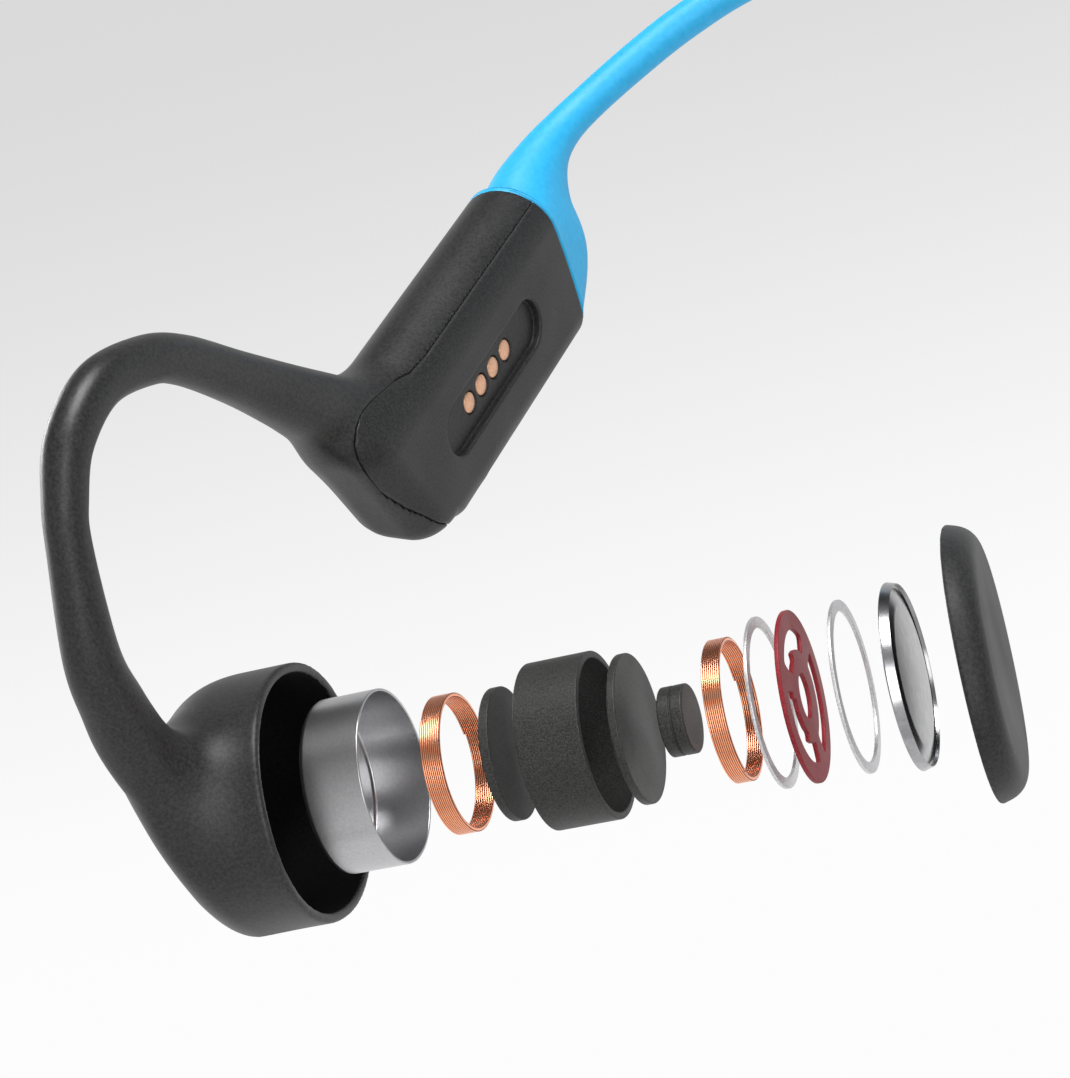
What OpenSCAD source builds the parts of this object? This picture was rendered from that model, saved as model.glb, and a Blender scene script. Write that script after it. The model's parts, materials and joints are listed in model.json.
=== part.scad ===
// Bone conduction headphones: a neckband headset whose right driver is shown drawn apart on its own axis.
// Frame: +X points to the wearer's left, +Y to the back of the head, +Z up.
// The origin is the middle of the whole headset. Each side is modelled from its own driver rim's centre.

/* [Headset] */
// Distance between the rims of the two driver cups
rim_gap = 110; // [108:1:116]
// Distance from the driver centres back to the middle of the headset
middle_back = 45.54; // [44:0.01:48]
// Distance from the driver centres up to the middle of the headset
middle_up = 10.6; // [9:0.01:12]
// Distance from the driver centres back to the middle of the neckband
band_reach = 102.3; // [101:0.1:106]
// Radius of the neckband
band_r = 1.75; // [1.65:0.05:1.9]
// Half of the gap between the two halves of the neckband
band_split = 0.5; // [0.5:0.05:0.8]

/* [Pods] */
// Downward slope of both pods towards the back, in degrees
pod_slope = 17.5; // [16:0.1:19]
// Thickness of a pod, across the head
pod_t = 9.2; // [9:0.1:10]
// Distance from the driver centre to the back end of a pod, along the pod
pod_back = 60.4; // [60:0.1:60.8]
// Height of a pod's upper edge, square to the pod
pod_top = 18.3; // [18:0.1:18.6]
// Height of a pod's lower edge, square to the pod
pod_bottom = 1.35; // [1.2:0.05:1.6]
// Wall thickness of the pod casings
pod_wall = 1.2; // [1.1:0.05:1.3]

/* [Charging recess] */
// Overall length of the stadium recess
recess_l = 20.2; // [19:0.1:21]
// Width of the stadium recess
recess_w = 4.8; // [4.4:0.1:5.2]
// Depth of the recess
recess_d = 0.8; // [0.6:0.05:0.9]
// Distance between the centres of neighbouring contacts
contact_pitch = 2.65; // [2.54:0.01:2.7]
// Radius of each contact
contact_r = 0.95; // [0.8:0.05:1]

/* [Driver cup] */
// Backward lean of each driver axis, in degrees
driver_lean = 16.3; // [15:0.1:18]
// Forward lean of the long axis of the oval cup, in degrees
oval_lean = 38.1; // [36:0.1:40]
// Tilt of the rim plane, in degrees
rim_tilt = 4.5; // [3:0.1:5]
// Half of the short axis of the oval cup
cup_r = 10.4; // [10.2:0.1:10.8]
// Distance from the cup centre to each end arc's centre
cup_offset = 2.1; // [2:0.1:2.4]
// Depth of the cup, outside
cup_depth = 10; // [9.9:0.1:10.4]
// Thickness of the cup wall
cup_wall = 0.8; // [0.7:0.05:0.9]

/* [Driver] */
// Outer radius of the steel can
can_r = 7; // [6.9:0.05:7.1]
// Depth of the steel can
can_l = 5.07; // [5:0.01:5.1]
// Outer radius of the magnet sleeve
sleeve_r = 6.55; // [6.4:0.01:6.6]
// Outer radius of the two voice coils
coil_r = 5.5; // [5.4:0.01:5.55]
// Radius of the centre magnets
core_r = 2.7; // [2.5:0.05:2.8]
// Gap between stacked driver pieces when the driver is closed
stack_gap = 0.03; // [0.02:0.005:0.04]

/* [Hidden] */

fine = 64;
eps = 0.01;
hair = 0.02;
slip = 0.04;

// Pod
front_normal = 200.5;
front_corner_r = 5.4;
front_corner_a = 31.15;
pod_edge_r = pod_t / 2;
inner_edge_r = 3;
outer_edge_r = 4.4;
end_r = 1.6;
pod_len = 50;
cover_t = 1.9;
cavity_x = 1.5;
gasket_in = 0.35;
gasket_w = 0.5;
gasket_h = 0.5;
recess_front = 33.1;
recess_mid_b = 9.3;
recess_mid_a = recess_front + recess_l / 2;
contact_n = 4;
hole_slip = 0.05;
carrier_t = 1.1;
carrier_l = 10.6;
carrier_w = 3.6;
contact_l = 2.4;
contact_flange = 0.25;
contact_flange_t = 0.5;
dock_magnet_r = 1.5;
dock_magnet_t = 1;
dock_magnet_out = 7.6;

// Buttons
button_a = [38, 48];
button_l = 7;
button_w = 2.4;
button_x = -4.6;
button_proud = 0.7;
button_lip = 0.3;
button_lip_t = 0.4;
button_rest = 0.32;
button_gap = 0.15;

// Driver stack
can_wall = 0.22;
coil_wall = 0.36;
rear_coil_l = 1.74;
front_coil_l = 1.49;
rear_plate_r = 5.25;
rear_plate_t = 0.79;
sleeve_wall = 0.55;
sleeve_l = 5.16;
front_plate_r = 5.84;
front_plate_t = 0.66;
core_l = 2;
core_groove = 0.12;
ring_wall = 0.64;
ring_t = 0.26;
spring_r = 6.56;
spring_t = 0.35;
spring_rim = 0.78;
spring_hub = 0.54;
spring_waist = 0.45;
spring_hole = 0.25;
plate_back_r = 7.1;
plate_front_r = 6.79;
plate_l = 0.8;
plate_skin = 0.25;
pad_t = 2.3;
pad_taper = 0.7;
pad_edge = 0.9;
cup_floor = 1;
cup_fillet = 4.4;
cavity_fillet = 3;
damper_t = 0.9;
damper_r = 6.5;
damper_in_r = 4.7;
vibration_gap = 0.15;

// Where each driver piece sits when the driver is closed, measured along the driver axis from the rim
floor_z = -cup_depth + cup_floor;
damper_z = floor_z + hair;
can_z = damper_z + damper_t + hair;
rear_coil_z = can_z + can_wall + hair;
sleeve_z = rear_coil_z;
rear_plate_z = rear_coil_z + rear_coil_l + stack_gap;
front_plate_z = rear_plate_z + rear_plate_t + stack_gap;
core_z = front_plate_z + front_plate_t + stack_gap;
front_coil_z = core_z;
inner_ring_z = sleeve_z + sleeve_l + stack_gap;
spring_z = inner_ring_z + ring_t + stack_gap;
outer_ring_z = spring_z + spring_t + stack_gap;
plate_z = outer_ring_z + ring_t + vibration_gap;
pad_z = hair;

// Where each driver piece sits when the driver is drawn apart
can_out = 1.69;
rear_coil_out = 11.28;
rear_plate_out = 16.04;
sleeve_out = 19.41;
front_plate_out = 26.67;
core_out = 29.51;
front_coil_out = 33.98;
inner_ring_out = 37.65;
spring_out = 40.01;
outer_ring_out = 44.04;
plate_out = 48.06;
pad_out = 53.14;

// Function button
function_r = 3.6;
function_lip_r = 4.2;
function_lip_t = 0.3;
function_proud = 0.5;
switch_r = 4.3;
switch_t = 0.15;
switch_stub_r = 1.5;
switch_stub_t = 0.1;

// Boards and battery: corner and size in the pod frame
board_at = [-4.7, 31, 4.6];
board_size = [0.8, 26, 10.6];
battery_at = [-7.2, 32, 4.4];
battery_size = [5.2, 25, 10.6];
key_board = [2.8, 18, 0.5];
key_board_a = 34;
key_gap = 0.58;
dome_r = 1.1;
dome_t = 0.25;

// Centre line of the ear hook: [backward, upward, half-width] from the driver centre
hook_x = -5.5;
hook_knots = [
    [32, 5.2, 3.6], [30, 9.4, 3.35], [27.2, 15.9, 2.65], [24.35, 22.25, 2.15], [21.25, 28.6, 1.95],
    [18.4, 32.3, 1.9], [13.6, 35.75, 1.85], [8.4, 36.1, 1.8], [4.75, 34.1, 1.68], [2.15, 31.6, 1.65],
    [-2.85, 24.9, 2.08], [-4.55, 20.4, 2.4], [-5.65, 16.3, 2.72], [-6.6, 11.8, 3], [-7, 7.5, 2.7]
];
hook_steps = 3;
hook_rim = 0.3;
cup_slip = 0.06;
wire_r = 0.45;
cable_r = 0.4;
lane_r = 0.6;
lane_gap = 0.75;

// Centre line of half the neckband: [inward, backward, upward, half-thickness, half-height, squareness]
pod_mid_b = (pod_top + pod_bottom) / 2;
boot_in = 2.4;
seam_gap = 0.05;
boot_high = (pod_top - pod_bottom) / 2 - 0.15;
boot_front = pod_back - boot_in;
boot_back = pod_back + 0.4;
boot_thick = pod_t / 2 - 0.1;
band_up = -5.5;
band_knots = [
    [-pod_t / 2, pod_y(boot_front, pod_mid_b), pod_z(boot_front, pod_mid_b), boot_thick, boot_high, 3.6],
    [-pod_t / 2, pod_y(boot_back, pod_mid_b), pod_z(boot_back, pod_mid_b), boot_thick, boot_high, 3.2],
    [-4.7, 64.1, -7.85, 4.05, 7, 2.8],
    [-4.6, 67.4, -6.6, 3.2, 4.8, 2.4],
    [-4.2, 70.8, -5.6, 2.4, 2.9, 2.1],
    [-3.3, 73.9, band_up, 1.95, 2.05, 2],
    [-1.6, 77.3, band_up, band_r, band_r, 2],
    [1.9, 82.4, band_up, band_r, band_r, 2],
    [6, 87.4, band_up, band_r, band_r, 2],
    [11.5, 92.2, band_up, band_r, band_r, 2],
    [21.5, 97.8, band_up, band_r, band_r, 2],
    [37, 101.5, band_up, band_r, band_r, 2],
    [rim_gap / 2 - band_split, band_reach, band_up, band_r, band_r, 2]
];
band_steps = 4;

// A point of the pod frame in the side frame
function pod_y(a, b) = a * cos(pod_slope) + b * sin(pod_slope);
function pod_z(a, b) = b * cos(pod_slope) - a * sin(pod_slope);

// Curve through knots
function spline(p0, p1, p2, p3, t) =
    0.5 * (2 * p1 + (p2 - p0) * t + (2 * p0 - 5 * p1 + 4 * p2 - p3) * t * t
    + (3 * p1 - p0 - 3 * p2 + p3) * t * t * t);
function knot(k, i) = i < 0 ? 2 * k[0] - k[1] : i < len(k) ? k[i] : 2 * k[len(k) - 1] - k[len(k) - 2];
function curve(k, steps) = concat(
    [for (i = [0:len(k) - 2]) for (s = [0:steps - 1])
        spline(knot(k, i - 1), k[i], k[i + 1], knot(k, i + 2), s / steps)],
    [k[len(k) - 1]]);
function unit(v) = v / norm(v);
function tangent(p, i) = unit(p[min(i + 1, len(p) - 1)] - p[max(i - 1, 0)]);
function wave(x, e) = sign(x) * pow(abs(x), 2 / e);

// Solid swept along points, with half-sizes across (along the reference direction) and square to it
module sweep(points, across, along, power, ref, sides) {
    n = len(points);
    rings = [for (i = [0:n - 1])
        let (t = tangent(points, i), u = unit(ref - t * (ref * t)), v = cross(t, u))
        for (j = [0:sides - 1])
        let (g = 360 * j / sides)
        points[i] + u * (across[i] * wave(cos(g), power[i])) + v * (along[i] * wave(sin(g), power[i]))];
    skin = [for (i = [0:n - 2]) for (j = [0:sides - 1])
        let (k = (j + 1) % sides)
        [i * sides + j, (i + 1) * sides + j, (i + 1) * sides + k, i * sides + k]];
    caps = [[for (j = [0:sides - 1]) j], [for (j = [sides - 1:-1:0]) (n - 1) * sides + j]];
    polyhedron(rings, concat(skin, caps), convexity = 10);
}

// Sides and frames
module right_side() {
    translate([-rim_gap / 2, -middle_back, -middle_up]) children();
}

module left_side() {
    mirror([1, 0, 0]) right_side() children();
}

module pod_frame() {
    rotate([-pod_slope, 0, 0]) children();
}

module driver_frame(z = 0) {
    rotate([0, 0, driver_lean]) rotate([oval_lean, 0, 0]) rotate([0, 90, 0]) translate([0, 0, z]) children();
}

// Lays a profile drawn in (along, square) on the pod and gives it a thickness across the head
module across_head(x, t) {
    translate([x, 0, 0]) rotate([90, 0, 90]) linear_extrude(t) children();
}

// Pod shapes
function arc(cx, cy, r, from, to, n) = [
    for (i = [0:n]) let (g = from + (to - from) * i / n) [cx + r * cos(g), cy + r * sin(g)]
];

// The front edge leans forward; a small arc joins it to the upper edge
module pod_outline(inset = 0) {
    corner_b = pod_bottom + front_corner_r;
    top_b = pod_top - end_r;
    lean_b = (top_b - corner_b) * sin(front_normal);
    top_a = front_corner_a + (front_corner_r - end_r - lean_b) / cos(front_normal);
    polygon(concat(
        arc(front_corner_a, corner_b, front_corner_r - inset, 270, front_normal, 12),
        arc(top_a, top_b, end_r - inset, front_normal, 90, 4),
        [[pod_back - inset, pod_top - inset]],
        [[pod_back - inset, pod_bottom + inset]]
    ));
}

// Section across the pod: round upper edge, two smaller fillets below
module pod_section(inset = 0) {
    inner = [-inner_edge_r, pod_bottom + inner_edge_r];
    outer = [outer_edge_r - pod_t, pod_bottom + outer_edge_r];
    top_b = pod_top - pod_edge_r;
    translate([-pod_edge_r, top_b]) circle(pod_edge_r - inset, $fn = fine);
    translate(inner) circle(inner_edge_r - inset, $fn = fine);
    translate(outer) circle(outer_edge_r - inset, $fn = fine);
    polygon([
        inner, [-inset, inner[1]], [-inset, top_b], [inset - pod_t, top_b], [inset - pod_t, outer[1]], outer,
        [outer[0], pod_bottom + inset], [inner[0], pod_bottom + inset]
    ]);
}

module pod_solid(inset = 0) {
    intersection() {
        across_head(-pod_t, pod_t) pod_outline(inset);
        translate([0, pod_back + 1, 0]) rotate([90, 0, 0]) linear_extrude(pod_len) pod_section(inset);
    }
}

module pod_cavity() {
    intersection() {
        pod_solid(pod_wall);
        translate([-pod_t, 0, -10]) cube([pod_t - cavity_x, pod_back, 40]);
    }
}

module slab(x0, x1) {
    translate([x0, 0, -10]) cube([x1 - x0, pod_back + 10, 40]);
}

module stadium(l, w) {
    for (s = [-1, 1]) translate([s * (l - w) / 2, 0]) circle(w / 2, $fn = fine);
    square([l - w, w], center = true);
}

module recess() {
    translate([0, recess_mid_a, recess_mid_b]) across_head(-recess_d, 5) stadium(recess_l, recess_w);
}

module contacts_at() {
    for (i = [0:contact_n - 1]) {
        translate([0, recess_mid_a + (i - (contact_n - 1) / 2) * contact_pitch, recess_mid_b]) {
            rotate([0, -90, 0]) children();
        }
    }
}

module gasket_ring(grow) {
    across_head(-cover_t - gasket_h - grow, gasket_h) difference() {
        pod_split_outline(gasket_in - grow);
        pod_split_outline(gasket_in + gasket_w + grow);
    }
}

// How far a fillet still stands in from the edge at a depth below the face
function fillet_drop(r, depth) = r - sqrt(pow(r, 2) - pow(r - depth, 2));

// Outline of the pod where the cover meets the shell
module pod_split_outline(inset) {
    low = pod_bottom + fillet_drop(inner_edge_r, cover_t) + inset;
    high = pod_top - fillet_drop(pod_edge_r, cover_t) - inset;
    intersection() {
        pod_outline(inset);
        translate([0, low]) square([pod_back + 5, high - low]);
    }
}

module pod_cover(charging) {
    pod_frame() difference() {
        intersection() {
            pod_solid();
            slab(-cover_t, 1);
        }
        pod_cavity();
        if (charging) {
            recess();
            translate([1, 0, 0]) contacts_at() cylinder(r = contact_r + hole_slip, h = 5, $fn = fine);
        }
    }
}

module pod_shell(buttons) {
    difference() {
        pod_frame() difference() {
            intersection() {
                pod_solid();
                slab(-pod_t - 1, -cover_t - slip);
            }
            pod_cavity();
            gasket_ring(slip);
            if (buttons) {
                for (a = button_a) {
                    translate([button_x, a, pod_bottom - 2]) button_plan(button_l, button_w, 5, button_gap);
                }
            }
        }
        hook_lane(lane_gap, lane_r);
        hook_lane(-lane_gap, lane_r);
        band_lane(lane_gap, lane_r);
        band_lane(-lane_gap, lane_r);
    }
}

module pod_gasket() {
    pod_frame() gasket_ring(0);
}

// Button plan: a stadium lying along the pod
module button_plan(l, w, h, grow = 0) {
    rotate([0, 0, 90]) linear_extrude(h) stadium(l + 2 * grow, w + 2 * grow);
}

module volume_button(a) {
    lip_b = pod_wall + button_proud + button_rest;
    pod_frame() translate([button_x, a, pod_bottom - button_proud]) {
        button_plan(button_l, button_w, lip_b + eps);
        translate([0, 0, lip_b]) button_plan(button_l, button_w, button_lip_t, button_lip);
    }
}

// Hook
function hook_line() = [for (k = curve(hook_knots, hook_steps)) [hook_x, k[0], k[1]]];
function hook_radius() = [for (k = curve(hook_knots, hook_steps)) k[2]];
function flat(p, v) = [for (q = p) v];

module hook_sweep() {
    r = hook_radius();
    sweep(hook_line(), 0.94 * r, r, flat(r, 2), [1, 0, 0], 18);
}

// Bore or cord that follows the hook from inside the pod to inside the cup
module hook_lane(offset, r) {
    p = [for (q = hook_line()) q + [offset, 0, 0]];
    sweep(p, flat(p, r), flat(p, r), flat(p, 2), [1, 0, 0], 8);
}

module ear_hook() {
    resize([0, 0, 0]) difference() {
        hook_sweep();
        pod_frame() pod_solid(-slip);
        driver_frame() translate([0, 0, -cup_depth - cup_slip]) cup_body(cup_slip, cup_depth + 2 * cup_slip);
        driver_frame(-hook_rim) translate([-20, -20, 0]) cube([40, 40, 20]);
        hook_lane(lane_gap, lane_r);
        hook_lane(-lane_gap, lane_r);
    }
}

// Neckband
function band_line() = [for (k = curve(band_knots, band_steps)) [k[0], k[1], k[2]]];
function band_part(i) = [for (k = curve(band_knots, band_steps)) k[i]];

module band_sweep() {
    sweep(band_line(), band_part(3), band_part(4), band_part(5), [1, -0.001, 0], 18);
}

module band_lane(offset, r) {
    p = band_line();
    lane = [for (i = [0:len(p) - 1]) let (t = tangent(p, i)) p[i] + offset * unit([t[1], -t[0], 0])];
    sweep(lane, flat(lane, r), flat(lane, r), flat(lane, 2), [1, -0.001, 0], 8);
}

module neckband() {
    resize([0, 0, 0]) difference() {
        band_sweep();
        pod_frame() translate([-pod_t - 1, pod_back - 20, -10]) cube([pod_t + 2, 20 + seam_gap, 40]);
        band_lane(lane_gap, lane_r);
        band_lane(-lane_gap, lane_r);
    }
}

// Cup
module cup_profile(r, depth, fillet) {
    square([r - fillet, depth]);
    translate([0, fillet]) square([r, depth - fillet]);
    translate([r - fillet, fillet]) circle(fillet, $fn = fine);
}

// Oval body with a rounded back edge; its long axis is local X
module oval_body(r, depth, fillet, offset) {
    for (s = [-1, 1]) translate([s * offset, 0, 0]) {
        rotate_extrude($fn = 96) intersection() {
            cup_profile(r, depth, fillet);
            square([r + 1, depth + 1]);
        }
    }
    translate([-offset, 0, 0]) rotate([90, 0, 90]) linear_extrude(2 * offset) {
        cup_profile(r, depth, fillet);
        mirror([1, 0]) cup_profile(r, depth, fillet);
    }
}

module cup_body(grow, depth) {
    oval_body(cup_r + grow, depth, cup_fillet + grow, cup_offset);
}

module rim_cut() {
    rotate([0, rim_tilt, 0]) translate([-30, -30, 0]) cube([60, 60, 30]);
}

module driver_cup(button) {
    difference() {
        driver_frame() difference() {
            translate([0, 0, -cup_depth]) cup_body(0, cup_depth + 2);
            translate([0, 0, floor_z]) oval_body(cup_r - cup_wall, cup_depth + 4, cavity_fillet, cup_offset);
            rim_cut();
            if (button) {
                translate([0, 0, -cup_depth - 1]) cylinder(r = function_r + button_gap, h = 5, $fn = fine);
            }
        }
        hook_lane(lane_gap, lane_r);
        hook_lane(-lane_gap, lane_r);
    }
}

// Driver pieces
module tube(r, wall, h) {
    difference() {
        cylinder(r = r, h = h, $fn = 96);
        translate([0, 0, -1]) cylinder(r = r - wall, h = h + 2, $fn = 96);
    }
}

module damper_ring(z) {
    driver_frame(z) tube(damper_r, damper_r - damper_in_r, damper_t);
}

module driver_can(z) {
    driver_frame(z) difference() {
        cylinder(r = can_r, h = can_l, $fn = 96);
        translate([0, 0, can_wall]) cylinder(r = can_r - can_wall, h = can_l, $fn = 96);
    }
}

module coil(z, l) {
    driver_frame(z) tube(coil_r, coil_wall, l);
}

module rear_plate(z) {
    driver_frame(z) cylinder(r = rear_plate_r, h = rear_plate_t, $fn = 96);
}

module front_plate(z) {
    driver_frame(z) cylinder(r = front_plate_r, h = front_plate_t, $fn = 96);
}

module magnet_sleeve(z) {
    driver_frame(z) tube(sleeve_r, sleeve_wall, sleeve_l);
}

module centre_magnets(z) {
    magnet_l = (core_l - core_groove) / 2;
    driver_frame(z) {
        cylinder(r = core_r, h = magnet_l, $fn = fine);
        cylinder(r = core_r - core_groove, h = core_l, $fn = fine);
        translate([0, 0, core_l - magnet_l]) cylinder(r = core_r, h = magnet_l, $fn = fine);
    }
}

module spacer_ring(z) {
    driver_frame(z) tube(sleeve_r, ring_wall, ring_t);
}

// Opening of the spring plate between hub and rim
module spring_window(r_in, r_out, from, to) {
    polygon(concat(
        arc(0, 0, r_out * spring_r, from, to, 24),
        arc(0, 0, r_in * spring_r, to, from, 24)
    ));
}

// Rim and hub joined by three bridges
module spring_plate(z) {
    driver_frame(z) linear_extrude(spring_t) difference() {
        circle(spring_r, $fn = 96);
        circle(spring_hole * spring_r, $fn = fine);
        spring_window(spring_hub, spring_rim, 57, 144);
        spring_window(spring_waist, spring_hub + eps, 108, 142);
        spring_window(spring_hub, spring_rim, 168, 274);
        spring_window(spring_waist, spring_hub + eps, 176, 243);
        spring_window(spring_hub, spring_rim, 297, 393);
    }
}

module vibration_plate(z) {
    driver_frame(z) rotate_extrude($fn = 96) polygon([
        [0, 0], [plate_back_r, 0], [plate_front_r, plate_l], [plate_front_r - plate_skin, plate_l],
        [plate_back_r - 2 * plate_skin, plate_skin], [0, plate_skin]
    ]);
}

module pad_profile() {
    polygon([
        [0, 0], [cup_r, 0], [cup_r - pad_taper * 0.45, pad_t - pad_edge],
        [cup_r - pad_taper * 0.8, pad_t - 0.4 * pad_edge], [cup_r - pad_taper - pad_edge * 0.6, pad_t],
        [0, pad_t]
    ]);
}

module ear_pad(z) {
    driver_frame(z) rotate([0, rim_tilt, 0]) {
        for (s = [-1, 1]) translate([s * cup_offset, 0, 0]) rotate_extrude($fn = 96) pad_profile();
        translate([-cup_offset, 0, 0]) rotate([90, 0, 90]) linear_extrude(2 * cup_offset) {
            pad_profile();
            mirror([1, 0]) pad_profile();
        }
    }
}

// Small internal pieces
module chip(along, up, size) {
    translate([-size[0], along, up]) cube([size[0] + eps, size[1], size[2]]);
}

module board_parts() {
    pod_frame() translate(board_at) {
        cube(board_size);
        chip(3, 3, [1.1, 6, 6]);
        chip(12, 4, [1, 5, 4]);
        chip(20, 2, [0.8, 3, 2]);
    }
}

module carrier_parts() {
    pod_frame() difference() {
        translate([0, recess_mid_a, recess_mid_b]) across_head(-cavity_x - hair - carrier_t, carrier_t) {
            stadium(carrier_l, carrier_w);
        }
        translate([1, 0, 0]) contacts_at() cylinder(r = contact_r + hole_slip, h = 8, $fn = fine);
    }
}

module contact_parts() {
    pod_frame() translate([-recess_d - hair, 0, 0]) contacts_at() {
        cylinder(r = contact_r, h = contact_l, $fn = fine);
        translate([0, 0, contact_l - contact_flange_t]) {
            cylinder(r = contact_r + contact_flange, h = contact_flange_t, $fn = fine);
        }
    }
}

module dock_magnet_parts() {
    pod_frame() for (s = [-1, 1]) {
        translate([-cavity_x - hair, recess_mid_a + s * dock_magnet_out, recess_mid_b]) {
            rotate([0, -90, 0]) cylinder(r = dock_magnet_r, h = dock_magnet_t, $fn = fine);
        }
    }
}

module button_board_parts() {
    board_b = pod_bottom + pod_wall + button_rest + button_lip_t + key_gap;
    pod_frame() {
        translate([button_x - key_board[0] / 2, key_board_a, board_b]) cube(key_board);
        for (a = button_a) {
            translate([button_x, a, board_b - dome_t]) cylinder(r = dome_r, h = dome_t + eps, $fn = fine);
        }
    }
}

module battery_parts() {
    pod_frame() translate(battery_at) cube(battery_size);
}

module function_button_parts() {
    lip_z = cup_floor + function_proud + hair;
    driver_frame(-cup_depth - function_proud) {
        cylinder(r = function_r, h = lip_z + eps, $fn = fine);
        translate([0, 0, lip_z]) cylinder(r = function_lip_r, h = function_lip_t, $fn = fine);
    }
}

module function_switch_parts() {
    driver_frame(can_z - hair - switch_t) {
        cylinder(r = switch_r, h = switch_t, $fn = fine);
        translate([0, 0, -switch_stub_t]) cylinder(r = switch_stub_r, h = switch_stub_t + eps, $fn = fine);
    }
}

// Nodes
module right_pod_cover() { color("#3a3a3a") right_side() pod_cover(true); }
module right_pod_shell() { color("#333333") right_side() pod_shell(true); }
module right_pod_gasket() { color("#808080") right_side() pod_gasket(); }
module circuit_board() { color("#1f5c3a") right_side() board_parts(); }
module contact_carrier() { color("#2b2320") right_side() carrier_parts(); }
module charge_contacts() { color("#d79670") right_side() contact_parts(); }
module dock_magnets() { color("#9a9a9e") right_side() dock_magnet_parts(); }
module volume_up_button() { color("#2e2e2e") right_side() volume_button(button_a[1]); }
module volume_down_button() { color("#2e2e2e") right_side() volume_button(button_a[0]); }
module button_board() { color("#1f5c3a") right_side() button_board_parts(); }
module right_ear_hook() { color("#383838") right_side() ear_hook(); }
module right_hook_wire() { color("#b4b2ad") right_side() hook_lane(-lane_gap, wire_r); }
module right_hook_cable() { color("#5a5a5a") right_side() hook_lane(lane_gap, cable_r); }
module right_driver_cup() { color("#363636") right_side() driver_cup(false); }
module right_damper_ring() { color("#6a6a6a") right_side() damper_ring(damper_z); }
module right_driver_can() { color("#b9bbbd") right_side() driver_can(can_out); }
module right_rear_coil() { color("#d8683a") right_side() coil(rear_coil_out, rear_coil_l); }
module right_rear_plate() { color("#4c4c4c") right_side() rear_plate(rear_plate_out); }
module right_magnet_sleeve() { color("#505050") right_side() magnet_sleeve(sleeve_out); }
module right_front_plate() { color("#4c4c4c") right_side() front_plate(front_plate_out); }
module right_centre_magnets() { color("#4a4a4a") right_side() centre_magnets(core_out); }
module right_front_coil() { color("#d8683a") right_side() coil(front_coil_out, front_coil_l); }
module right_inner_ring() { color("#c4c4c6") right_side() spacer_ring(inner_ring_out); }
module right_spring_plate() { color("#8c3038") right_side() spring_plate(spring_out); }
module right_outer_ring() { color("#c4c4c6") right_side() spacer_ring(outer_ring_out); }
module right_vibration_plate() { color("#d4d6d8") right_side() vibration_plate(plate_out); }
module right_ear_pad() { color("#3c3c3c") right_side() ear_pad(pad_out); }
module left_pod_cover() { color("#3a3a3a") left_side() pod_cover(false); }
module left_pod_shell() { color("#333333") left_side() pod_shell(false); }
module left_pod_gasket() { color("#808080") left_side() pod_gasket(); }
module battery() { color("#c8ccd0") left_side() battery_parts(); }
module left_ear_hook() { color("#383838") left_side() ear_hook(); }
module left_hook_wire() { color("#b4b2ad") left_side() hook_lane(-lane_gap, wire_r); }
module left_hook_cable() { color("#5a5a5a") left_side() hook_lane(lane_gap, cable_r); }
module left_driver_cup() { color("#363636") left_side() driver_cup(true); }
module left_damper_ring() { color("#6a6a6a") left_side() damper_ring(damper_z); }
module left_driver_can() { color("#b9bbbd") left_side() driver_can(can_z); }
module left_rear_coil() { color("#d8683a") left_side() coil(rear_coil_z, rear_coil_l); }
module left_rear_plate() { color("#4c4c4c") left_side() rear_plate(rear_plate_z); }
module left_magnet_sleeve() { color("#505050") left_side() magnet_sleeve(sleeve_z); }
module left_front_plate() { color("#4c4c4c") left_side() front_plate(front_plate_z); }
module left_centre_magnets() { color("#4a4a4a") left_side() centre_magnets(core_z); }
module left_front_coil() { color("#d8683a") left_side() coil(front_coil_z, front_coil_l); }
module left_inner_ring() { color("#c4c4c6") left_side() spacer_ring(inner_ring_z); }
module left_spring_plate() { color("#8c3038") left_side() spring_plate(spring_z); }
module left_outer_ring() { color("#c4c4c6") left_side() spacer_ring(outer_ring_z); }
module left_vibration_plate() { color("#d4d6d8") left_side() vibration_plate(plate_z); }
module left_ear_pad() { color("#3c3c3c") left_side() ear_pad(pad_z); }
module function_button() { color("#2e2e2e") left_side() function_button_parts(); }
module function_switch() { color("#b0a060") left_side() function_switch_parts(); }
module right_neckband() { color("#40b8f0") right_side() neckband(); }
module left_neckband() { color("#40b8f0") left_side() neckband(); }
module right_band_wire() { color("#b4b2ad") right_side() band_lane(-lane_gap, wire_r); }
module left_band_wire() { color("#b4b2ad") left_side() band_lane(-lane_gap, wire_r); }
module right_band_cable() { color("#5a5a5a") right_side() band_lane(lane_gap, cable_r); }
module left_band_cable() { color("#5a5a5a") left_side() band_lane(lane_gap, cable_r); }

right_pod_cover();
right_pod_shell();
right_pod_gasket();
circuit_board();
contact_carrier();
charge_contacts();
dock_magnets();
volume_up_button();
volume_down_button();
button_board();
right_ear_hook();
right_hook_wire();
right_hook_cable();
right_driver_cup();
right_damper_ring();
right_driver_can();
right_rear_coil();
right_rear_plate();
right_magnet_sleeve();
right_front_plate();
right_centre_magnets();
right_front_coil();
right_inner_ring();
right_spring_plate();
right_outer_ring();
right_vibration_plate();
right_ear_pad();
left_pod_cover();
left_pod_shell();
left_pod_gasket();
battery();
left_ear_hook();
left_hook_wire();
left_hook_cable();
left_driver_cup();
left_damper_ring();
left_driver_can();
left_rear_coil();
left_rear_plate();
left_magnet_sleeve();
left_front_plate();
left_centre_magnets();
left_front_coil();
left_inner_ring();
left_spring_plate();
left_outer_ring();
left_vibration_plate();
left_ear_pad();
function_button();
function_switch();
right_neckband();
left_neckband();
right_band_wire();
left_band_wire();
right_band_cable();
left_band_cable();
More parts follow.
